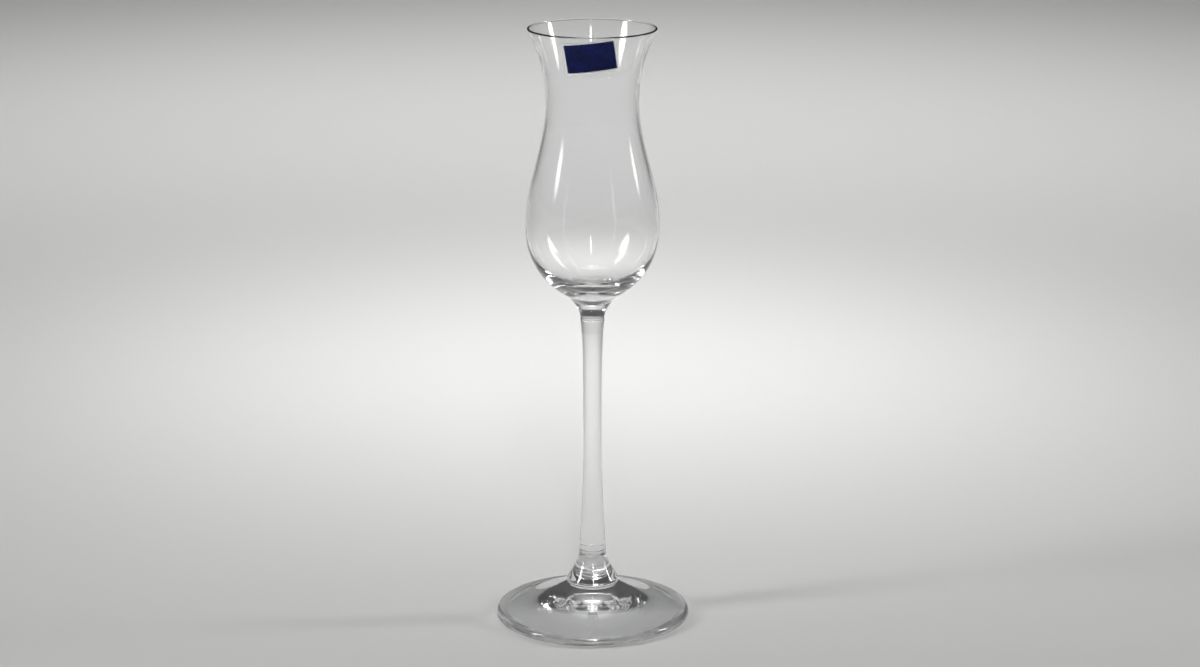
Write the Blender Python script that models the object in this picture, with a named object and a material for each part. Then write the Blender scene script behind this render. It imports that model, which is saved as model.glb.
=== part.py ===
"""A tall tulip glass for spirits: a flared bowl on a long solid stem and a domed foot.

Metres, +Z up. The glass stands on z = 0 with its axis on Z, and its label faces -Y.
Each glass piece is a turned outline of (radius, height) points. The pieces stack up
the axis, with the same thin gap at every joint.
"""

from math import cos, hypot, pi, radians, sin

import bmesh
import bpy

# Gap at each joint, and how finely round shapes are divided.
JOINT_GAP = 0.0003
SEGMENTS = 48
LONG_CURVE_STEPS = 8
SHORT_CURVE_STEPS = 6
EDGE_STEPS = 4
FINE_STEPS = 128
MERGE_DISTANCE = 0.000005
SHARP_ANGLE = radians(35)

# Foot: a domed disc with a rounded edge, a flat rest ring and a hollow underside.
FOOT_RADIUS = 0.0325
FOOT_EDGE_THICKNESS = 0.0034
FOOT_RISE = 0.0082
FOOT_CROWN_THICKNESS = 0.0068
FOOT_REST_WIDTH = 0.0022
FOOT_CROWN_SLOPE = radians(32)
FOOT_CROWN_SWEEP = 0.0080
FOOT_BRIM_SLOPE = radians(7)
FOOT_BRIM_SWEEP = 0.0090
FOOT_HOLLOW_SLOPE = radians(12)
FOOT_HOLLOW_SWEEP = 0.0110
FOOT_HOLLOW_TOP_SWEEP = 0.0090

# Foot collar: the flared button between the stem and the foot.
FOOT_COLLAR_HEIGHT = 0.0118
FOOT_COLLAR_RADIUS = 0.0087
FOOT_COLLAR_EDGE_RADIUS = 0.0010
FOOT_COLLAR_NECK_SWEEP = 0.0046
FOOT_COLLAR_FLARE_SWEEP = 0.0015

# Stem: a solid rod, thinnest a little above its middle.
STEM_LENGTH = 0.0792
STEM_FOOT_RADIUS = 0.0044
STEM_WAIST_RADIUS = 0.0030
STEM_WAIST_HEIGHT = 0.0431
STEM_BOWL_RADIUS = 0.0040
STEM_FOOT_SLOPE = radians(3)
STEM_FOOT_SWEEP = 0.0121
STEM_WAIST_SWEEP_DOWN = 0.0183
STEM_WAIST_SWEEP_UP = 0.0160
STEM_BOWL_SLOPE = radians(8)
STEM_BOWL_SWEEP = 0.0062

# Bowl collar: the solid cone between the stem and the bowl.
BOWL_COLLAR_HEIGHT = 0.0074
BOWL_COLLAR_RADIUS = 0.0080
BOWL_COLLAR_NECK_SWEEP = 0.0024
BOWL_COLLAR_FLARE_SLOPE = radians(44)
BOWL_COLLAR_FLARE_SWEEP = 0.0032

# Bowl: a thick base, a round belly, a drawn-in waist and a flared mouth.
BOWL_HEIGHT = 0.0888
BOWL_BASE_THICKNESS = 0.0034
BOWL_BASE_SLOPE = radians(60)
BOWL_BASE_SWEEP = 0.0102
BELLY_HEIGHT = 0.0242
BELLY_RADIUS = 0.0220
BELLY_WALL = 0.0010
BELLY_SWEEP_DOWN = 0.0119
BELLY_SWEEP_UP = 0.0139
WAIST_HEIGHT = 0.0644
WAIST_RADIUS = 0.0152
WAIST_WALL = 0.0009
WAIST_SWEEP_DOWN = 0.0137
WAIST_SWEEP_UP = 0.0093
RIM_RADIUS = 0.0211
RIM_WALL = 0.0008
RIM_SLOPE = radians(28)
RIM_SWEEP = 0.0091
HOLLOW_BELLY_SWEEP = 0.0126
HOLLOW_BASE_SWEEP = 0.0145

# Label: a small sticker on the flare, tilted a little, that follows the wall.
LABEL_WIDTH = 0.0177
LABEL_HEIGHT = 0.0115
LABEL_THICKNESS = 0.0002
LABEL_DROP = 0.0068
LABEL_TILT = radians(7.2)
LABEL_TURN = radians(-1.8)
LABEL_CELLS_ACROSS = 12
LABEL_CELLS_UP = 8

# Colours and finish.
GLASS_COLOUR = (0.98, 0.99, 0.99, 1.0)
GLASS_ROUGHNESS = 0.02
GLASS_INDEX = 1.52
LABEL_COLOUR = (0.010, 0.018, 0.150, 1.0)
LABEL_ROUGHNESS = 0.22

# Heights of the joints, stacked from the table up.
FOOT_SEAT_Z = FOOT_EDGE_THICKNESS + FOOT_RISE
FOOT_COLLAR_Z = FOOT_SEAT_Z + JOINT_GAP
STEM_Z = FOOT_COLLAR_Z + FOOT_COLLAR_HEIGHT + JOINT_GAP
BOWL_COLLAR_Z = STEM_Z + STEM_LENGTH + JOINT_GAP
BOWL_Z = BOWL_COLLAR_Z + BOWL_COLLAR_HEIGHT + JOINT_GAP
RIM_Z = BOWL_Z + BOWL_HEIGHT

# Directions in an outline's plane.
OUT = 0.0
UP = pi / 2
IN = pi
DOWN = -pi / 2


def curve(start, start_handle, end_handle, end, steps):
    """Points of a cubic curve from start to end. Each handle is an offset from its own end."""
    points = []
    for step in range(steps + 1):
        t = step / steps
        s = 1 - t
        leave = 3 * s * s * t
        arrive = 3 * s * t * t
        weights = (s**3 + leave, leave, arrive, arrive + t**3)
        axes = zip(start, start_handle, end_handle, end)
        points.append(tuple(sum(w * v for w, v in zip(weights, values)) for values in axes))
    return points


def arc(centre, radius, first, last, steps):
    """Points of a round edge, from one angle to another."""
    angles = [first + (last - first) * step / steps for step in range(steps + 1)]
    return [(centre[0] + radius * cos(a), centre[1] + radius * sin(a)) for a in angles]


def handle(direction, length):
    """A curve's handle: an offset whose direction is measured from OUT towards UP."""
    return (length * cos(direction), length * sin(direction))


def foot_outline():
    """From the crown down the top, round the edge, along the rest ring and up into the hollow."""
    half_edge = FOOT_EDGE_THICKNESS / 2
    edge_centre = (FOOT_RADIUS - half_edge, half_edge)
    hollow_radius = edge_centre[0] - FOOT_REST_WIDTH
    hollow_top = FOOT_SEAT_Z - FOOT_CROWN_THICKNESS
    edge = arc(edge_centre, half_edge, UP - FOOT_BRIM_SLOPE, DOWN, EDGE_STEPS)
    top = curve(
        (FOOT_COLLAR_RADIUS, FOOT_SEAT_Z),
        handle(OUT - FOOT_CROWN_SLOPE, FOOT_CROWN_SWEEP),
        handle(IN - FOOT_BRIM_SLOPE, FOOT_BRIM_SWEEP),
        edge[0],
        LONG_CURVE_STEPS,
    )
    hollow = curve(
        (hollow_radius, 0.0),
        handle(IN - FOOT_HOLLOW_SLOPE, FOOT_HOLLOW_SWEEP),
        handle(OUT, FOOT_HOLLOW_TOP_SWEEP),
        (0.0, hollow_top),
        LONG_CURVE_STEPS,
    )
    return [(0.0, FOOT_SEAT_Z), *top, *edge[1:], *hollow]


def foot_collar_outline():
    """From the stem's joint, flaring out to the widest ring and rounding under onto the foot."""
    widest_z = FOOT_COLLAR_Z + FOOT_COLLAR_EDGE_RADIUS
    top_z = FOOT_COLLAR_Z + FOOT_COLLAR_HEIGHT
    edge_centre = (FOOT_COLLAR_RADIUS - FOOT_COLLAR_EDGE_RADIUS, widest_z)
    side = curve(
        (STEM_FOOT_RADIUS, top_z),
        handle(DOWN, FOOT_COLLAR_NECK_SWEEP),
        handle(UP, FOOT_COLLAR_FLARE_SWEEP),
        (FOOT_COLLAR_RADIUS, widest_z),
        LONG_CURVE_STEPS,
    )
    edge = arc(edge_centre, FOOT_COLLAR_EDGE_RADIUS, OUT, DOWN, EDGE_STEPS)
    return [(0.0, top_z), *side, *edge[1:], (0.0, FOOT_COLLAR_Z)]


def stem_outline():
    """From the bowl's end down to the waist and on to the foot's end."""
    waist = (STEM_WAIST_RADIUS, STEM_Z + STEM_WAIST_HEIGHT)
    top_z = STEM_Z + STEM_LENGTH
    upper = curve(
        (STEM_BOWL_RADIUS, top_z),
        handle(DOWN - STEM_BOWL_SLOPE, STEM_BOWL_SWEEP),
        handle(UP, STEM_WAIST_SWEEP_UP),
        waist,
        LONG_CURVE_STEPS,
    )
    lower = curve(
        waist,
        handle(DOWN, STEM_WAIST_SWEEP_DOWN),
        handle(UP + STEM_FOOT_SLOPE, STEM_FOOT_SWEEP),
        (STEM_FOOT_RADIUS, STEM_Z),
        SHORT_CURVE_STEPS,
    )
    return [(0.0, top_z), *upper, *lower[1:], (0.0, STEM_Z)]


def bowl_collar_outline():
    """From the bowl's joint, closing in to the stem."""
    top_z = BOWL_COLLAR_Z + BOWL_COLLAR_HEIGHT
    side = curve(
        (BOWL_COLLAR_RADIUS, top_z),
        handle(DOWN - BOWL_COLLAR_FLARE_SLOPE, BOWL_COLLAR_FLARE_SWEEP),
        handle(UP, BOWL_COLLAR_NECK_SWEEP),
        (STEM_BOWL_RADIUS, BOWL_COLLAR_Z),
        LONG_CURVE_STEPS,
    )
    return [(0.0, top_z), *side, (0.0, BOWL_COLLAR_Z)]


def bowl_wall(belly, waist, rim, steps):
    """One side of the bowl's wall from the rim down past the waist to the belly."""
    flare = curve(
        rim,
        handle(DOWN - RIM_SLOPE, RIM_SWEEP),
        handle(UP, WAIST_SWEEP_UP),
        waist,
        steps,
    )
    body = curve(
        waist,
        handle(DOWN, WAIST_SWEEP_DOWN),
        handle(UP, BELLY_SWEEP_UP),
        belly,
        steps,
    )
    return [*flare, *body[1:]]


def bowl_outside(steps):
    """The bowl's outer side, from the rim down to its joint with the collar."""
    belly = (BELLY_RADIUS, BOWL_Z + BELLY_HEIGHT)
    waist = (WAIST_RADIUS, BOWL_Z + WAIST_HEIGHT)
    rim = (RIM_RADIUS, RIM_Z - RIM_WALL / 2)
    base = curve(
        belly,
        handle(DOWN, BELLY_SWEEP_DOWN),
        handle(UP - BOWL_BASE_SLOPE, BOWL_BASE_SWEEP),
        (BOWL_COLLAR_RADIUS, BOWL_Z),
        steps,
    )
    return [*bowl_wall(belly, waist, rim, steps), *base[1:]]


def bowl_inside(steps):
    """The bowl's inner side, from the rim down to the middle of its floor."""
    belly = (BELLY_RADIUS - BELLY_WALL, BOWL_Z + BELLY_HEIGHT)
    waist = (WAIST_RADIUS - WAIST_WALL, BOWL_Z + WAIST_HEIGHT)
    rim = (RIM_RADIUS - RIM_WALL, RIM_Z - RIM_WALL / 2)
    floor = curve(
        belly,
        handle(DOWN, HOLLOW_BELLY_SWEEP),
        handle(OUT, HOLLOW_BASE_SWEEP),
        (0.0, BOWL_Z + BOWL_BASE_THICKNESS),
        steps,
    )
    return [*bowl_wall(belly, waist, rim, steps), *floor[1:]]


def bowl_outline():
    """Up the inside, over the polished rim and down the outside to the joint."""
    half_wall = RIM_WALL / 2
    rim_centre = (RIM_RADIUS - half_wall, RIM_Z - half_wall)
    rim = arc(rim_centre, half_wall, IN, OUT, EDGE_STEPS)
    inside = list(reversed(bowl_inside(LONG_CURVE_STEPS)))
    outside = bowl_outside(LONG_CURVE_STEPS)
    return [*inside, *rim[1:-1], *outside, (0.0, BOWL_Z)]


def principled(name, colour, roughness, transmission):
    """A material with one Principled shader."""
    material = bpy.data.materials.new(name)
    material.use_nodes = True
    shader = material.node_tree.nodes["Principled BSDF"]
    shader.inputs["Base Color"].default_value = colour
    shader.inputs["Roughness"].default_value = roughness
    shader.inputs["Metallic"].default_value = 0.0
    shader.inputs["IOR"].default_value = GLASS_INDEX
    shader.inputs["Transmission Weight"].default_value = transmission
    return material


def add_object(name, bm, material, parent):
    """Turns a bmesh into a named object with its material, under the glass's empty."""
    mesh = bpy.data.meshes.new(name)
    bm.to_mesh(mesh)
    bm.free()
    mesh.shade_smooth()
    mesh.set_sharp_from_angle(angle=SHARP_ANGLE)
    mesh.materials.append(material)
    piece = bpy.data.objects.new(name, mesh)
    piece.parent = parent
    bpy.context.collection.objects.link(piece)
    return piece


def add_turned(name, outline, parent):
    """A glass piece: its outline, which starts and ends on the axis, spun once round Z."""
    bm = bmesh.new()
    verts = [bm.verts.new((radius, 0.0, z)) for radius, z in outline]
    edges = [bm.edges.new(pair) for pair in zip(verts, verts[1:])]
    bmesh.ops.spin(
        bm,
        geom=verts + edges,
        axis=(0, 0, 1),
        cent=(0, 0, 0),
        angle=2 * pi,
        steps=SEGMENTS,
        use_merge=True,
    )
    bmesh.ops.remove_doubles(bm, verts=bm.verts, dist=MERGE_DISTANCE)
    bmesh.ops.recalc_face_normals(bm, faces=bm.faces)
    glass = principled(f"{name}_glass", GLASS_COLOUR, GLASS_ROUGHNESS, 1.0)
    return add_object(name, bm, glass, parent)


def wall_at(outside, z):
    """Radius of the bowl's outer side at a height, and the unit normal (out, up) there."""
    for (upper_r, upper_z), (lower_r, lower_z) in zip(outside, outside[1:]):
        if z >= lower_z:
            break
    run = upper_r - lower_r
    rise = upper_z - lower_z
    length = hypot(run, rise)
    radius = lower_r + run * (z - lower_z) / rise
    return radius, (rise / length, -run / length)


def add_label(parent):
    """The sticker: a flat grid wrapped onto the flare, one joint gap off the glass."""
    bm = bmesh.new()
    bmesh.ops.create_grid(
        bm,
        x_segments=LABEL_CELLS_ACROSS,
        y_segments=LABEL_CELLS_UP,
        size=0.5,
    )
    outside = bowl_outside(FINE_STEPS)
    middle_z = RIM_Z - LABEL_DROP
    _, (steepness, _) = wall_at(outside, middle_z)
    for vert in bm.verts:
        across = vert.co.x * LABEL_WIDTH
        up = vert.co.y * LABEL_HEIGHT
        around = across * cos(LABEL_TILT) - up * sin(LABEL_TILT)
        along = across * sin(LABEL_TILT) + up * cos(LABEL_TILT)
        z = middle_z + along * steepness
        radius, (out, rise) = wall_at(outside, z)
        turn = LABEL_TURN + around / radius
        reach = radius + JOINT_GAP * out
        vert.co = (reach * sin(turn), -reach * cos(turn), z + JOINT_GAP * rise)
    print_blue = principled("label_print", LABEL_COLOUR, LABEL_ROUGHNESS, 0.0)
    label = add_object("label", bm, print_blue, parent)
    film = label.modifiers.new("film", "SOLIDIFY")
    film.thickness = LABEL_THICKNESS
    film.offset = 1.0
    film.use_even_offset = True
    return label


def main():
    for old in list(bpy.data.objects):
        bpy.data.objects.remove(old)
    glass = bpy.data.objects.new("tulip_glass", None)
    bpy.context.collection.objects.link(glass)
    add_turned("foot", foot_outline(), glass)
    add_turned("foot_collar", foot_collar_outline(), glass)
    add_turned("stem", stem_outline(), glass)
    add_turned("bowl_collar", bowl_collar_outline(), glass)
    add_turned("bowl", bowl_outline(), glass)
    add_label(glass)


main()
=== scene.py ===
"""The looks of a stemmed tulip glass: clear fused glass pieces and a small blue label.

Metres, +Z up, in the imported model's frame. Every glass piece is a finely turned outline that
closes the thin joint gaps of the model, so that the pieces meet and read as fused glass.
"""

from math import cos, hypot, pi, radians, sin, sqrt

import bmesh
import bpy
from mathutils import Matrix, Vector


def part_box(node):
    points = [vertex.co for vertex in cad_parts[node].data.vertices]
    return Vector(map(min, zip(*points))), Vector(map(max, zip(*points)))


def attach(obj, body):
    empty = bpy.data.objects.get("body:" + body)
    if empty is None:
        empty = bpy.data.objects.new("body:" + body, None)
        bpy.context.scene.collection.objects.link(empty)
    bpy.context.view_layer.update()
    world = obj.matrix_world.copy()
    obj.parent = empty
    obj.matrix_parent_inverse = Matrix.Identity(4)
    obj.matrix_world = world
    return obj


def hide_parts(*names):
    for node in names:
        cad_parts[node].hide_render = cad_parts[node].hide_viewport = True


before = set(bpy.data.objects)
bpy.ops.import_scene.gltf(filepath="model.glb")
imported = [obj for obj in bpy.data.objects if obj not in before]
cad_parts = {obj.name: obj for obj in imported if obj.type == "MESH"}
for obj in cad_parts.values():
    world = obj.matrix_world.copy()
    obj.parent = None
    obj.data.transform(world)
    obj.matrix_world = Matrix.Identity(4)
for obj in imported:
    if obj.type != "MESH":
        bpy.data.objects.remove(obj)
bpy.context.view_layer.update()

# Directions in an outline's plane.
OUT = 0.0
UP = pi / 2
IN = pi
DOWN = -pi / 2

# How finely the turned pieces are divided, and from what angle an edge is sharp.
SEGMENTS = 192
LONG_STEPS = 56
FOOT_STEPS = 180
EDGE_STEPS = 40
SEAM_STEPS = 10
SHARP_ANGLE = radians(8)

# A fused seam leaves a shallow groove round the glass.
SEAM_DEPTH = 0.0001
SEAM_REACH = 0.0004

# How near a face lies to a joint that it belongs to, and the material slot that it then gets.
JOINT_TOLERANCE = 1e-7
FUSED_SLOT = 1

# Foot: a domed disc with a rounded edge, a hollow underside and faint rings from the tool.
FOOT_EDGE_THICKNESS = 0.0034
FOOT_CROWN_THICKNESS = 0.0068
FOOT_REST_WIDTH = 0.0022
FOOT_CROWN_SLOPE = radians(32)
FOOT_CROWN_SWEEP = 0.0080
FOOT_BRIM_SLOPE = radians(7)
FOOT_BRIM_SWEEP = 0.0090
FOOT_HOLLOW_SLOPE = radians(12)
FOOT_HOLLOW_SWEEP = 0.0110
FOOT_HOLLOW_TOP_SWEEP = 0.0090
RIPPLE_START = 0.0092
RIPPLE_END = 0.0190
RIPPLE_PITCH = 0.0021
RIPPLE_HEIGHT = 0.00002

# Foot collar: the flared button between stem and foot.
FOOT_COLLAR_EDGE_RADIUS = 0.0010
FOOT_COLLAR_NECK_SWEEP = 0.0046
FOOT_COLLAR_FLARE_SWEEP = 0.0015

# Stem: a slim rod, thinnest above its middle.
STEM_WAIST_RADIUS = 0.0030
STEM_WAIST_HEIGHT = 0.0431
STEM_BOWL_RADIUS = 0.0040
STEM_FOOT_SLOPE = radians(3)
STEM_FOOT_SWEEP = 0.0121
STEM_WAIST_SWEEP_DOWN = 0.0183
STEM_WAIST_SWEEP_UP = 0.0160
STEM_BOWL_SLOPE = radians(8)
STEM_BOWL_SWEEP = 0.0062

# Bowl collar: the cone that carries the bowl on the stem.
BOWL_COLLAR_NECK_SWEEP = 0.0024
BOWL_COLLAR_FLARE_SLOPE = radians(44)
BOWL_COLLAR_FLARE_SWEEP = 0.0032

# Bowl: a thick base, a round belly, a drawn-in waist and a flared rim.
BOWL_BASE_THICKNESS = 0.0034
BOWL_BASE_SLOPE = radians(60)
BOWL_BASE_SWEEP = 0.0102
BELLY_HEIGHT = 0.0242
BELLY_WALL = 0.0010
BELLY_SWEEP_DOWN = 0.0119
BELLY_SWEEP_UP = 0.0139
WAIST_HEIGHT = 0.0644
WAIST_RADIUS = 0.0152
WAIST_WALL = 0.0009
WAIST_SWEEP_DOWN = 0.0137
WAIST_SWEEP_UP = 0.0093
RIM_RADIUS = 0.0211
RIM_WALL = 0.0008
RIM_SLOPE = radians(28)
RIM_SWEEP = 0.0091
HOLLOW_BELLY_SWEEP = 0.0126
HOLLOW_BASE_SWEEP = 0.0145

# Label: a clear film with a smaller blue panel on it, both wrapped onto the flare.
FILM_WIDTH = 0.0177
FILM_HEIGHT = 0.0115
FILM_CORNER = 0.0009
FILM_LIFT = 0.00003
FILM_THICKNESS = 0.00007
PANEL_WIDTH = 0.0163
PANEL_HEIGHT = 0.0101
PANEL_CORNER = 0.0002
PANEL_LIFT = 0.00012
PANEL_THICKNESS = 0.00003
LABEL_DROP = 0.0068
LABEL_TILT = radians(7.2)
LABEL_TURN = radians(-1.8)
LABEL_COLUMNS = 64
LABEL_ROWS = 40

# A noise pattern's values.
NOISE_SPAN = (0.0, 1.0)

# Glass: colourless, with faint waves in its surface and a trace of smears.
GLASS_COLOUR = (0.991, 0.996, 0.995, 1.0)
GLASS_INDEX = 1.52
WAVE_SCALE = 110.0
WAVE_DETAIL = 1.0
WAVE_STRENGTH = 0.02
WAVE_HEIGHT = 0.001
SMEAR_SCALE = 60.0
SMEAR_DETAIL = 4.0
SMEAR_SPAN = (0.45, 0.75)
SMEAR_ROUGHNESS = (0.0, 0.03)

# Fused joint: clear, with a faint cloudy mirror.
FUSED_ROUGHNESS = 0.05
FUSED_SCALE = 500.0
FUSED_DETAIL = 2.0
FUSED_MIRROR = (0.0, 0.12)

# Blue foil: cloudy deep blue, grained, under a thin varnish.
FOIL_DARK = (0.002, 0.005, 0.055, 1.0)
FOIL_BRIGHT = (0.005, 0.016, 0.145, 1.0)
FOIL_SPAN = (0.3, 0.75)
FOIL_METAL = 0.8
FOIL_CLOUD_SCALE = 180.0
FOIL_CLOUD_DETAIL = 4.0
FOIL_GRAIN_SCALE = 2600.0
FOIL_GRAIN_DETAIL = 2.0
FOIL_GRAIN_STRENGTH = 0.12
FOIL_GRAIN_HEIGHT = 0.00005
FOIL_ROUGHNESS = (0.16, 0.34)
VARNISH_WEIGHT = 0.15
VARNISH_ROUGHNESS = 0.04

# Clear film: nearly unseen under the panel, and paler towards its cut edge.
FILM_COLOUR = (0.95, 0.96, 0.97, 1.0)
FILM_CLOUD_SCALE = 700.0
FILM_CLOUD_DETAIL = 3.0
FILM_ROUGHNESS = (0.05, 0.18)
FILM_EDGE = (0.0001, 0.0008)
FILM_ALPHA = (0.95, 0.015)

# Camera, as fitted to the photograph.
CAMERA_X = 0.0025
CAMERA_DISTANCE = 0.9352
CAMERA_HEIGHT = 0.3434
CAMERA_PITCH = radians(14.69)
CAMERA_LENS = 87.73
SENSOR_WIDTH = 36.0

# Stage: a wide pale floor in a dim plain room that is a little paler overhead.
FLOOR_HALF = 40.0
FLOOR_Z = -0.0002
FLOOR_COLOUR = (0.60, 0.60, 0.59, 1.0)
FLOOR_ROUGHNESS = 0.7
ROOM_SIDES = (0.070, 0.070, 0.072, 1.0)
ROOM_SIDES_HEIGHT = 0.35
ROOM_TOP = (0.180, 0.180, 0.184, 1.0)

# Each soft box: name, place, target, width and height, power, spread. The sky box keeps the floor
# pale, the next three draw the highlights on the glass, and the floor boxes make the floor behind
# the glass brighter than the floor beside it, so that the edges of the clear stem show.
SOFT_BOXES = (
    ("sky_box", (0.0, 0.0, 4.00), (0.0, 0.0, 0.0), (9.0, 9.0), 150.0, radians(180)),
    ("left_box", (-0.95, -0.30, 0.62), (0.0, 0.0, 0.14), (0.30, 0.9), 2.1, radians(60)),
    ("right_box", (1.05, 0.10, 0.55), (0.0, 0.0, 0.14), (0.22, 0.8), 1.5, radians(60)),
    ("front_box", (0.10, -1.55, 1.15), (0.0, 0.0, 0.10), (0.14, 0.9), 2.0, radians(60)),
    ("near_floor_box", (0.0, 0.31, 0.85), (0.0, 0.31, 0.0), (0.50, 0.26), 0.85, radians(41)),
    ("far_floor_box", (0.0, 0.92, 1.50), (0.0, 0.92, 0.0), (1.6, 0.9), 9.0, radians(66)),
)

# A soft box fades from its middle to its edge. Both are in shares of its width and height.
BOX_MIDDLE = (0.5, 0.5, 0.0)
BOX_FADE = (0.15, 0.5)
BOX_STRENGTH = (1.0, 0.0)

# Enough bounces for light to cross every wall of the glass.
GLASS_BOUNCES = 32
MIRROR_BOUNCES = 16


def joint_height(lower, upper):
    """The plane where two stacked glass pieces are fused: the middle of the model's gap."""
    return (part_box(lower)[1].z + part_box(upper)[0].z) / 2


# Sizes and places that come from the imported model.
FOOT_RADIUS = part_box("foot")[1].x
FOOT_COLLAR_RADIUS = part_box("foot_collar")[1].x
STEM_FOOT_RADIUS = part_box("stem")[1].x
BOWL_COLLAR_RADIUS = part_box("bowl_collar")[1].x
BELLY_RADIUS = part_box("bowl")[1].x
FOOT_SEAT_Z = joint_height("foot", "foot_collar")
STEM_Z = joint_height("foot_collar", "stem")
BOWL_COLLAR_Z = joint_height("stem", "bowl_collar")
BOWL_Z = joint_height("bowl_collar", "bowl")
RIM_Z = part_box("bowl")[1].z
FOOT_SEAT_RADIUS = FOOT_COLLAR_RADIUS - FOOT_COLLAR_EDGE_RADIUS

# Each fused joint: the height of its plane and the radius of its disc.
FOOT_JOINT = (FOOT_SEAT_Z, FOOT_SEAT_RADIUS)
STEM_FOOT_JOINT = (STEM_Z, STEM_FOOT_RADIUS)
STEM_BOWL_JOINT = (BOWL_COLLAR_Z, STEM_BOWL_RADIUS)
BOWL_JOINT = (BOWL_Z, BOWL_COLLAR_RADIUS)


def curve(start, start_handle, end_handle, end, steps):
    """Points of a cubic curve from start to end. Each handle is an offset from its own end."""
    points = []
    for step in range(steps + 1):
        t = step / steps
        s = 1 - t
        leave = 3 * s * s * t
        arrive = 3 * s * t * t
        weights = (s**3 + leave, leave, arrive, arrive + t**3)
        axes = zip(start, start_handle, end_handle, end)
        points.append(tuple(sum(w * v for w, v in zip(weights, values)) for values in axes))
    return points


def arc(centre, radius, first, last, steps):
    """Points of a round edge, from one angle to another."""
    angles = [first + (last - first) * step / steps for step in range(steps + 1)]
    return [(centre[0] + radius * cos(a), centre[1] + radius * sin(a)) for a in angles]


def handle(direction, length):
    """A curve's handle: an offset whose direction is measured from OUT towards UP."""
    return (length * cos(direction), length * sin(direction))


def seam(radius, height, side):
    """The soft edge of a piece's end beside a fused seam: side is 1 above the seam, -1 below."""
    points = []
    for step in range(SEAM_STEPS + 1):
        away = step / SEAM_STEPS
        depth = SEAM_DEPTH * (1 + cos(pi * away)) / 2
        points.append((radius - depth, height + side * SEAM_REACH * away))
    return points


def ripple(radius):
    """Height of the faint rings that the shaping tool left on the foot."""
    share = (radius - RIPPLE_START) / (RIPPLE_END - RIPPLE_START)
    if share <= 0.0 or share >= 1.0:
        return 0.0
    wave = sin(2 * pi * (radius - RIPPLE_START) / RIPPLE_PITCH)
    return RIPPLE_HEIGHT * wave * sin(pi * share) ** 2


def foot_outline():
    """From the crown down the top, round the edge, along the rest ring and up into the hollow."""
    half_edge = FOOT_EDGE_THICKNESS / 2
    edge_centre = (FOOT_RADIUS - half_edge, half_edge)
    hollow_radius = edge_centre[0] - FOOT_REST_WIDTH
    hollow_top = FOOT_SEAT_Z - FOOT_CROWN_THICKNESS
    edge = arc(edge_centre, half_edge, UP - FOOT_BRIM_SLOPE, DOWN, EDGE_STEPS)
    top = curve(
        (FOOT_COLLAR_RADIUS, FOOT_SEAT_Z),
        handle(OUT - FOOT_CROWN_SLOPE, FOOT_CROWN_SWEEP),
        handle(IN - FOOT_BRIM_SLOPE, FOOT_BRIM_SWEEP),
        edge[0],
        FOOT_STEPS,
    )
    top = [(radius, z + ripple(radius)) for radius, z in top]
    hollow = curve(
        (hollow_radius, 0.0),
        handle(IN - FOOT_HOLLOW_SLOPE, FOOT_HOLLOW_SWEEP),
        handle(OUT, FOOT_HOLLOW_TOP_SWEEP),
        (0.0, hollow_top),
        LONG_STEPS,
    )
    seat = [(0.0, FOOT_SEAT_Z), (FOOT_SEAT_RADIUS, FOOT_SEAT_Z)]
    return [*seat, *top, *edge[1:], *hollow]


def foot_collar_outline():
    """From the stem's joint, flaring out to the widest ring and rounding under onto the foot."""
    widest_z = FOOT_SEAT_Z + FOOT_COLLAR_EDGE_RADIUS
    neck = seam(STEM_FOOT_RADIUS, STEM_Z, -1)
    side = curve(
        neck[-1],
        handle(DOWN, FOOT_COLLAR_NECK_SWEEP),
        handle(UP, FOOT_COLLAR_FLARE_SWEEP),
        (FOOT_COLLAR_RADIUS, widest_z),
        LONG_STEPS,
    )
    edge = arc((FOOT_SEAT_RADIUS, widest_z), FOOT_COLLAR_EDGE_RADIUS, OUT, DOWN, EDGE_STEPS)
    return [(0.0, STEM_Z), *neck, *side[1:], *edge[1:], (0.0, FOOT_SEAT_Z)]


def stem_outline():
    """From the bowl's end down to the waist and on to the foot's end."""
    waist = (STEM_WAIST_RADIUS, STEM_Z + STEM_WAIST_HEIGHT)
    bowl_end = seam(STEM_BOWL_RADIUS, BOWL_COLLAR_Z, -1)
    foot_end = seam(STEM_FOOT_RADIUS, STEM_Z, 1)
    upper = curve(
        bowl_end[-1],
        handle(DOWN - STEM_BOWL_SLOPE, STEM_BOWL_SWEEP),
        handle(UP, STEM_WAIST_SWEEP_UP),
        waist,
        LONG_STEPS,
    )
    lower = curve(
        waist,
        handle(DOWN, STEM_WAIST_SWEEP_DOWN),
        handle(UP + STEM_FOOT_SLOPE, STEM_FOOT_SWEEP),
        foot_end[-1],
        LONG_STEPS,
    )
    side = [*bowl_end, *upper[1:], *lower[1:-1], *reversed(foot_end)]
    return [(0.0, BOWL_COLLAR_Z), *side, (0.0, STEM_Z)]


def bowl_collar_outline():
    """From the bowl's joint, closing in to the stem."""
    neck = seam(STEM_BOWL_RADIUS, BOWL_COLLAR_Z, 1)
    side = curve(
        (BOWL_COLLAR_RADIUS, BOWL_Z),
        handle(DOWN - BOWL_COLLAR_FLARE_SLOPE, BOWL_COLLAR_FLARE_SWEEP),
        handle(UP, BOWL_COLLAR_NECK_SWEEP),
        neck[-1],
        LONG_STEPS,
    )
    return [(0.0, BOWL_Z), *side[:-1], *reversed(neck), (0.0, BOWL_COLLAR_Z)]


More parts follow.
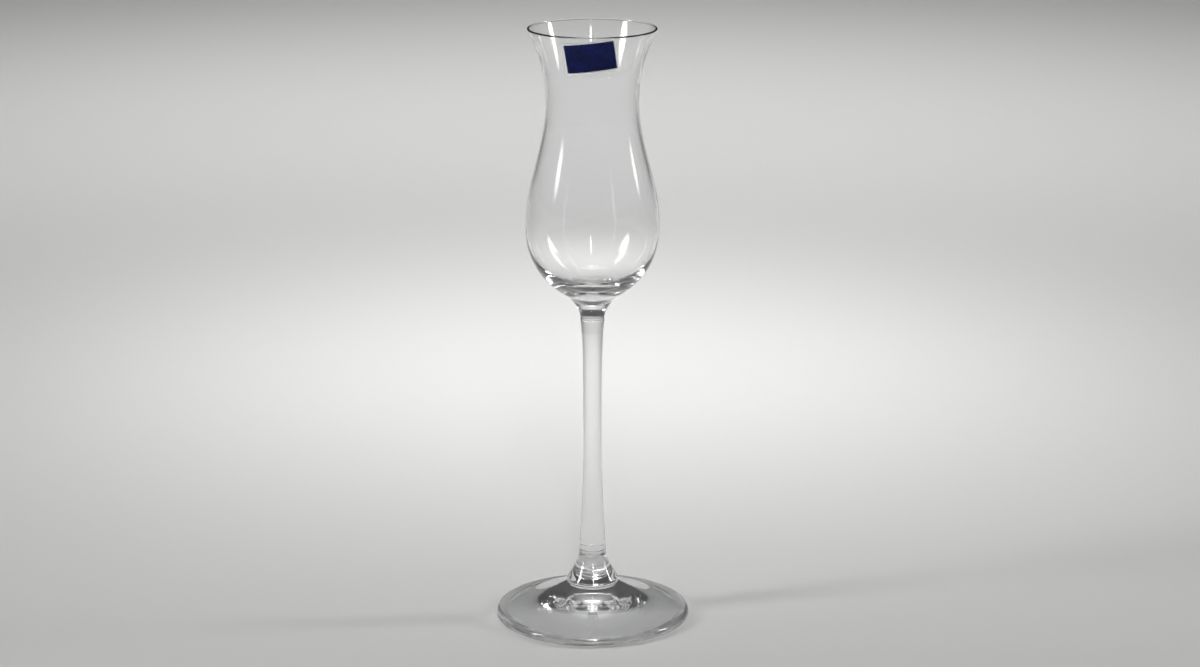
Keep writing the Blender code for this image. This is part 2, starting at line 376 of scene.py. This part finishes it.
def bowl_wall(belly, waist, rim):
    """One side of the bowl's wall from the rim down past the waist to the belly."""
    flare = curve(
        rim,
        handle(DOWN - RIM_SLOPE, RIM_SWEEP),
        handle(UP, WAIST_SWEEP_UP),
        waist,
        LONG_STEPS,
    )
    body = curve(
        waist,
        handle(DOWN, WAIST_SWEEP_DOWN),
        handle(UP, BELLY_SWEEP_UP),
        belly,
        LONG_STEPS,
    )
    return [*flare, *body[1:]]


def bowl_outside():
    """The bowl's outer side, from the rim down to its joint with the collar."""
    belly = (BELLY_RADIUS, BOWL_Z + BELLY_HEIGHT)
    waist = (WAIST_RADIUS, BOWL_Z + WAIST_HEIGHT)
    rim = (RIM_RADIUS, RIM_Z - RIM_WALL / 2)
    base = curve(
        belly,
        handle(DOWN, BELLY_SWEEP_DOWN),
        handle(UP - BOWL_BASE_SLOPE, BOWL_BASE_SWEEP),
        (BOWL_COLLAR_RADIUS, BOWL_Z),
        LONG_STEPS,
    )
    return [*bowl_wall(belly, waist, rim), *base[1:]]


def bowl_inside():
    """The bowl's inner side, from the rim down to the middle of its floor."""
    belly = (BELLY_RADIUS - BELLY_WALL, BOWL_Z + BELLY_HEIGHT)
    waist = (WAIST_RADIUS - WAIST_WALL, BOWL_Z + WAIST_HEIGHT)
    rim = (RIM_RADIUS - RIM_WALL, RIM_Z - RIM_WALL / 2)
    floor = curve(
        belly,
        handle(DOWN, HOLLOW_BELLY_SWEEP),
        handle(OUT, HOLLOW_BASE_SWEEP),
        (0.0, BOWL_Z + BOWL_BASE_THICKNESS),
        LONG_STEPS,
    )
    return [*bowl_wall(belly, waist, rim), *floor[1:]]


def bowl_outline():
    """Up the inside, over the polished rim and down the outside to the joint."""
    half_wall = RIM_WALL / 2
    rim_centre = (RIM_RADIUS - half_wall, RIM_Z - half_wall)
    rim = arc(rim_centre, half_wall, IN, OUT, EDGE_STEPS)
    return [*reversed(bowl_inside()), *rim[1:-1], *bowl_outside(), (0.0, BOWL_Z)]


def turned_mesh(name, outline):
    """A closed mesh from an outline that starts and ends on the axis."""
    verts = []
    rings = []
    for radius, z in outline:
        count = 1 if radius == 0.0 else SEGMENTS
        rings.append(range(len(verts), len(verts) + count))
        for k in range(count):
            turn = 2 * pi * k / SEGMENTS
            verts.append((radius * cos(turn), radius * sin(turn), z))
    faces = []
    for upper, lower in zip(rings, rings[1:]):
        for k in range(SEGMENTS):
            n = (k + 1) % SEGMENTS
            corners = [upper[k % len(upper)], lower[k % len(lower)]]
            corners += [lower[n % len(lower)], upper[n % len(upper)]]
            faces.append(list(dict.fromkeys(corners)))
    mesh = bpy.data.meshes.new(name)
    mesh.from_pydata(verts, [], faces)
    mesh.shade_smooth()
    mesh.set_sharp_from_angle(angle=SHARP_ANGLE)
    return mesh


def add_piece(name, mesh, nodes):
    """Adds a piece that rides on the object and stands for CAD nodes, which it hides."""
    piece = bpy.data.objects.new(name, mesh)
    bpy.context.scene.collection.objects.link(piece)
    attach(piece, "root")
    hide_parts(*nodes)
    return piece


def in_joint(corners, height, radius):
    """Whether a face with these corners lies in a fused joint's disc."""
    level = all(abs(c.z - height) < JOINT_TOLERANCE for c in corners)
    return level and all(hypot(c.x, c.y) < radius + JOINT_TOLERANCE for c in corners)


def add_glass(node, outline, joints, glass, fused):
    """A turned glass piece, with the fused material on the discs of its joints."""
    mesh = turned_mesh(f"{node}_glass", outline)
    mesh.materials.append(glass)
    mesh.materials.append(fused)
    for face in mesh.polygons:
        corners = [mesh.vertices[i].co for i in face.vertices]
        if any(in_joint(corners, *joint) for joint in joints):
            face.material_index = FUSED_SLOT
    add_piece(f"{node}_glass", mesh, [node])


def wall_at(outside, z):
    """Radius of the bowl's outer side at a height, and the unit normal (out, up) there."""
    for (upper_r, upper_z), (lower_r, lower_z) in zip(outside, outside[1:]):
        if z >= lower_z:
            break
    run = upper_r - lower_r
    rise = upper_z - lower_z
    length = hypot(run, rise)
    radius = lower_r + run * (z - lower_z) / rise
    return radius, (rise / length, -run / length)


def on_flare(outside, across, up, lift):
    """Wraps a point of the tilted flat label onto the flare, at a small lift off the glass."""
    middle_z = RIM_Z - LABEL_DROP
    _, (steepness, _) = wall_at(outside, middle_z)
    around = across * cos(LABEL_TILT) - up * sin(LABEL_TILT)
    along = across * sin(LABEL_TILT) + up * cos(LABEL_TILT)
    z = middle_z + along * steepness
    radius, (out, rise) = wall_at(outside, z)
    turn = LABEL_TURN + around / radius
    reach = radius + lift * out
    return (reach * sin(turn), -reach * cos(turn), z + lift * rise)


def half_width(width, height, corner, up):
    """Half the width of a sheet with round corners, at a height above its middle."""
    inset = max(0.0, abs(up) - (height / 2 - corner))
    return width / 2 - corner + sqrt(max(0.0, corner**2 - inset**2))


def sheet_mesh(name, width, height, corner, lift):
    """A sheet wrapped onto the flare. Its points keep their distance from the edge as margin."""
    outside = bowl_outside()
    bm = bmesh.new()
    margin = bm.verts.layers.float.new("margin")
    rows = []
    for j in range(LABEL_ROWS + 1):
        up = height / 2 * sin(pi / 2 * (2 * j / LABEL_ROWS - 1))
        half = half_width(width, height, corner, up)
        row = []
        for i in range(LABEL_COLUMNS + 1):
            across = half * (2 * i / LABEL_COLUMNS - 1)
            vert = bm.verts.new(on_flare(outside, across, up, lift))
            vert[margin] = min(half - abs(across), height / 2 - abs(up))
            row.append(vert)
        rows.append(row)
    for low, high in zip(rows, rows[1:]):
        for i in range(LABEL_COLUMNS):
            bm.faces.new((low[i], low[i + 1], high[i + 1], high[i]))
    mesh = bpy.data.meshes.new(name)
    bm.to_mesh(mesh)
    bm.free()
    mesh.shade_smooth()
    return mesh


def add_sheet(name, width, height, corner, lift, thickness, material):
    """A thin sheet of the label, with its thickness on the outer side."""
    mesh = sheet_mesh(name, width, height, corner, lift)
    mesh.materials.append(material)
    sheet = add_piece(name, mesh, ["label"])
    body = sheet.modifiers.new("thickness", "SOLIDIFY")
    body.thickness = thickness
    body.offset = 1.0


def new_material(name):
    """A new material with nodes, and its Principled shader."""
    material = bpy.data.materials.new(name)
    material.use_nodes = True
    return material, material.node_tree.nodes["Principled BSDF"]


def add_noise(tree, scale, detail):
    """A noise pattern that is fixed to the piece. Returns its value."""
    place = tree.nodes.new("ShaderNodeTexCoord")
    noise = tree.nodes.new("ShaderNodeTexNoise")
    noise.inputs["Scale"].default_value = scale
    noise.inputs["Detail"].default_value = detail
    tree.links.new(place.outputs["Object"], noise.inputs["Vector"])
    return noise.outputs["Fac"]


def add_range(tree, value, span, results, easing="LINEAR"):
    """Maps a value from a span onto a span of results. Returns the result."""
    mapped = tree.nodes.new("ShaderNodeMapRange")
    mapped.interpolation_type = easing
    for socket, limit in zip(("From Min", "From Max", "To Min", "To Max"), (*span, *results)):
        mapped.inputs[socket].default_value = limit
    tree.links.new(value, mapped.inputs["Value"])
    return mapped.outputs["Result"]


def add_bump(tree, height, strength, distance):
    """Bumps after a pattern of heights. Returns the surface's normal."""
    bump = tree.nodes.new("ShaderNodeBump")
    bump.inputs["Strength"].default_value = strength
    bump.inputs["Distance"].default_value = distance
    tree.links.new(height, bump.inputs["Height"])
    return bump.outputs["Normal"]


def add_ramp(tree, value, span, colours):
    """Blends from one colour to another over a span of a value. Returns the colour."""
    ramp = tree.nodes.new("ShaderNodeValToRGB")
    for stop, position, colour in zip(ramp.color_ramp.elements, span, colours):
        stop.position = position
        stop.color = colour
    tree.links.new(value, ramp.inputs["Fac"])
    return ramp.outputs["Color"]


def glass_material():
    """Clear colourless glass with faint waves in its surface, as hot-worked glass has."""
    material, shader = new_material("clear_glass")
    tree = material.node_tree
    shader.inputs["Base Color"].default_value = GLASS_COLOUR
    shader.inputs["Transmission Weight"].default_value = 1.0
    shader.inputs["IOR"].default_value = GLASS_INDEX
    waves = add_noise(tree, WAVE_SCALE, WAVE_DETAIL)
    smears = add_noise(tree, SMEAR_SCALE, SMEAR_DETAIL)
    normal = add_bump(tree, waves, WAVE_STRENGTH, WAVE_HEIGHT)
    haze = add_range(tree, smears, SMEAR_SPAN, SMEAR_ROUGHNESS)
    tree.links.new(normal, shader.inputs["Normal"])
    tree.links.new(haze, shader.inputs["Roughness"])
    return material


def fused_material():
    """The inside of a fused joint: light passes straight on, with a faint trace of the seam."""
    material, shader = new_material("fused_joint")
    tree = material.node_tree
    tree.nodes.remove(shader)
    clear = tree.nodes.new("ShaderNodeBsdfTransparent")
    trace = tree.nodes.new("ShaderNodeBsdfGlossy")
    trace.inputs["Roughness"].default_value = FUSED_ROUGHNESS
    cloud = add_noise(tree, FUSED_SCALE, FUSED_DETAIL)
    share = add_range(tree, cloud, NOISE_SPAN, FUSED_MIRROR)
    mix = tree.nodes.new("ShaderNodeMixShader")
    tree.links.new(share, mix.inputs["Fac"])
    tree.links.new(clear.outputs["BSDF"], mix.inputs[1])
    tree.links.new(trace.outputs["BSDF"], mix.inputs[2])
    tree.links.new(mix.outputs["Shader"], tree.nodes["Material Output"].inputs["Surface"])
    return material


def panel_material():
    """Deep blue foil print under a gloss varnish."""
    material, shader = new_material("blue_foil")
    tree = material.node_tree
    shader.inputs["Metallic"].default_value = FOIL_METAL
    shader.inputs["Coat Weight"].default_value = VARNISH_WEIGHT
    shader.inputs["Coat Roughness"].default_value = VARNISH_ROUGHNESS
    cloud = add_noise(tree, FOIL_CLOUD_SCALE, FOIL_CLOUD_DETAIL)
    grain = add_noise(tree, FOIL_GRAIN_SCALE, FOIL_GRAIN_DETAIL)
    colour = add_ramp(tree, cloud, FOIL_SPAN, (FOIL_DARK, FOIL_BRIGHT))
    rough = add_range(tree, grain, NOISE_SPAN, FOIL_ROUGHNESS)
    normal = add_bump(tree, grain, FOIL_GRAIN_STRENGTH, FOIL_GRAIN_HEIGHT)
    tree.links.new(colour, shader.inputs["Base Color"])
    tree.links.new(rough, shader.inputs["Roughness"])
    tree.links.new(normal, shader.inputs["Normal"])
    return material


def film_material():
    """Clear label film: almost unseen, with a paler cut edge."""
    material, shader = new_material("clear_film")
    tree = material.node_tree
    shader.inputs["Base Color"].default_value = FILM_COLOUR
    cloud = add_noise(tree, FILM_CLOUD_SCALE, FILM_CLOUD_DETAIL)
    rough = add_range(tree, cloud, NOISE_SPAN, FILM_ROUGHNESS)
    margin = tree.nodes.new("ShaderNodeAttribute")
    margin.attribute_name = "margin"
    alpha = add_range(tree, margin.outputs["Fac"], FILM_EDGE, FILM_ALPHA, "SMOOTHSTEP")
    tree.links.new(rough, shader.inputs["Roughness"])
    tree.links.new(alpha, shader.inputs["Alpha"])
    return material


def soften(lamp):
    """Fades a lamp towards its edges, so that its reflection has no hard outline."""
    lamp.use_nodes = True
    tree = lamp.node_tree
    place = tree.nodes.new("ShaderNodeNewGeometry")
    offset = tree.nodes.new("ShaderNodeVectorMath")
    offset.operation = "SUBTRACT"
    offset.inputs[1].default_value = BOX_MIDDLE
    reach = tree.nodes.new("ShaderNodeVectorMath")
    reach.operation = "LENGTH"
    tree.links.new(place.outputs["Parametric"], offset.inputs[0])
    tree.links.new(offset.outputs["Vector"], reach.inputs[0])
    fade = add_range(tree, reach.outputs["Value"], BOX_FADE, BOX_STRENGTH, "SMOOTHSTEP")
    tree.links.new(fade, tree.nodes["Emission"].inputs["Strength"])


def add_soft_box(name, place, target, size, power, spread):
    """A soft box that faces a target and is itself out of the camera's sight."""
    lamp = bpy.data.lights.new(name, "AREA")
    lamp.shape = "RECTANGLE"
    lamp.size, lamp.size_y = size
    lamp.energy = power
    lamp.spread = spread
    soften(lamp)
    holder = bpy.data.objects.new(name, lamp)
    holder.location = place
    holder.rotation_euler = (Vector(target) - Vector(place)).to_track_quat("-Z", "Y").to_euler()
    holder.visible_camera = False
    bpy.context.scene.collection.objects.link(holder)


def add_floor():
    """A wide plain pale floor, just under the rest ring."""
    mesh = bpy.data.meshes.new("floor")
    corners = ((-1, -1), (1, -1), (1, 1), (-1, 1))
    verts = [(x * FLOOR_HALF, y * FLOOR_HALF, FLOOR_Z) for x, y in corners]
    mesh.from_pydata(verts, [], [(0, 1, 2, 3)])
    material, shader = new_material("pale_floor")
    shader.inputs["Base Color"].default_value = FLOOR_COLOUR
    shader.inputs["Roughness"].default_value = FLOOR_ROUGHNESS
    mesh.materials.append(material)
    floor = bpy.data.objects.new("floor", mesh)
    bpy.context.scene.collection.objects.link(floor)


def set_world():
    """A dim studio, a little paler overhead."""
    world = bpy.data.worlds.new("studio")
    world.use_nodes = True
    tree = world.node_tree
    place = tree.nodes.new("ShaderNodeTexCoord")
    split = tree.nodes.new("ShaderNodeSeparateXYZ")
    tree.links.new(place.outputs["Generated"], split.inputs["Vector"])
    colours = (ROOM_SIDES, ROOM_TOP)
    room = add_ramp(tree, split.outputs["Z"], (ROOM_SIDES_HEIGHT, 1.0), colours)
    tree.links.new(room, tree.nodes["Background"].inputs["Color"])
    bpy.context.scene.world = world


def add_camera():
    """The photograph's view."""
    camera = bpy.data.cameras.new("camera")
    camera.sensor_fit = "HORIZONTAL"
    camera.sensor_width = SENSOR_WIDTH
    camera.lens = CAMERA_LENS
    holder = bpy.data.objects.new("camera", camera)
    holder.location = (CAMERA_X, -CAMERA_DISTANCE, CAMERA_HEIGHT)
    holder.rotation_euler = (pi / 2 - CAMERA_PITCH, 0.0, 0.0)
    bpy.context.scene.collection.objects.link(holder)
    bpy.context.scene.camera = holder


def set_render():
    """Plain colours, and light paths that are long enough for glass and keep its mirrors sharp."""
    scene = bpy.context.scene
    scene.view_settings.view_transform = "Standard"
    scene.cycles.max_bounces = GLASS_BOUNCES
    scene.cycles.transmission_bounces = GLASS_BOUNCES
    scene.cycles.transparent_max_bounces = GLASS_BOUNCES
    scene.cycles.glossy_bounces = MIRROR_BOUNCES
    scene.cycles.blur_glossy = 0.0


glass = glass_material()
fused = fused_material()
add_glass("foot", foot_outline(), [FOOT_JOINT], glass, fused)
add_glass("foot_collar", foot_collar_outline(), [FOOT_JOINT, STEM_FOOT_JOINT], glass, fused)
add_glass("stem", stem_outline(), [STEM_FOOT_JOINT, STEM_BOWL_JOINT], glass, fused)
add_glass("bowl_collar", bowl_collar_outline(), [STEM_BOWL_JOINT, BOWL_JOINT], glass, fused)
add_glass("bowl", bowl_outline(), [BOWL_JOINT], glass, fused)
add_sheet(
    "label_film",
    FILM_WIDTH,
    FILM_HEIGHT,
    FILM_CORNER,
    FILM_LIFT,
    FILM_THICKNESS,
    film_material(),
)
add_sheet(
    "label_panel",
    PANEL_WIDTH,
    PANEL_HEIGHT,
    PANEL_CORNER,
    PANEL_LIFT,
    PANEL_THICKNESS,
    panel_material(),
)
add_floor()
set_world()
for soft_box in SOFT_BOXES:
    add_soft_box(*soft_box)
add_camera()
set_render()
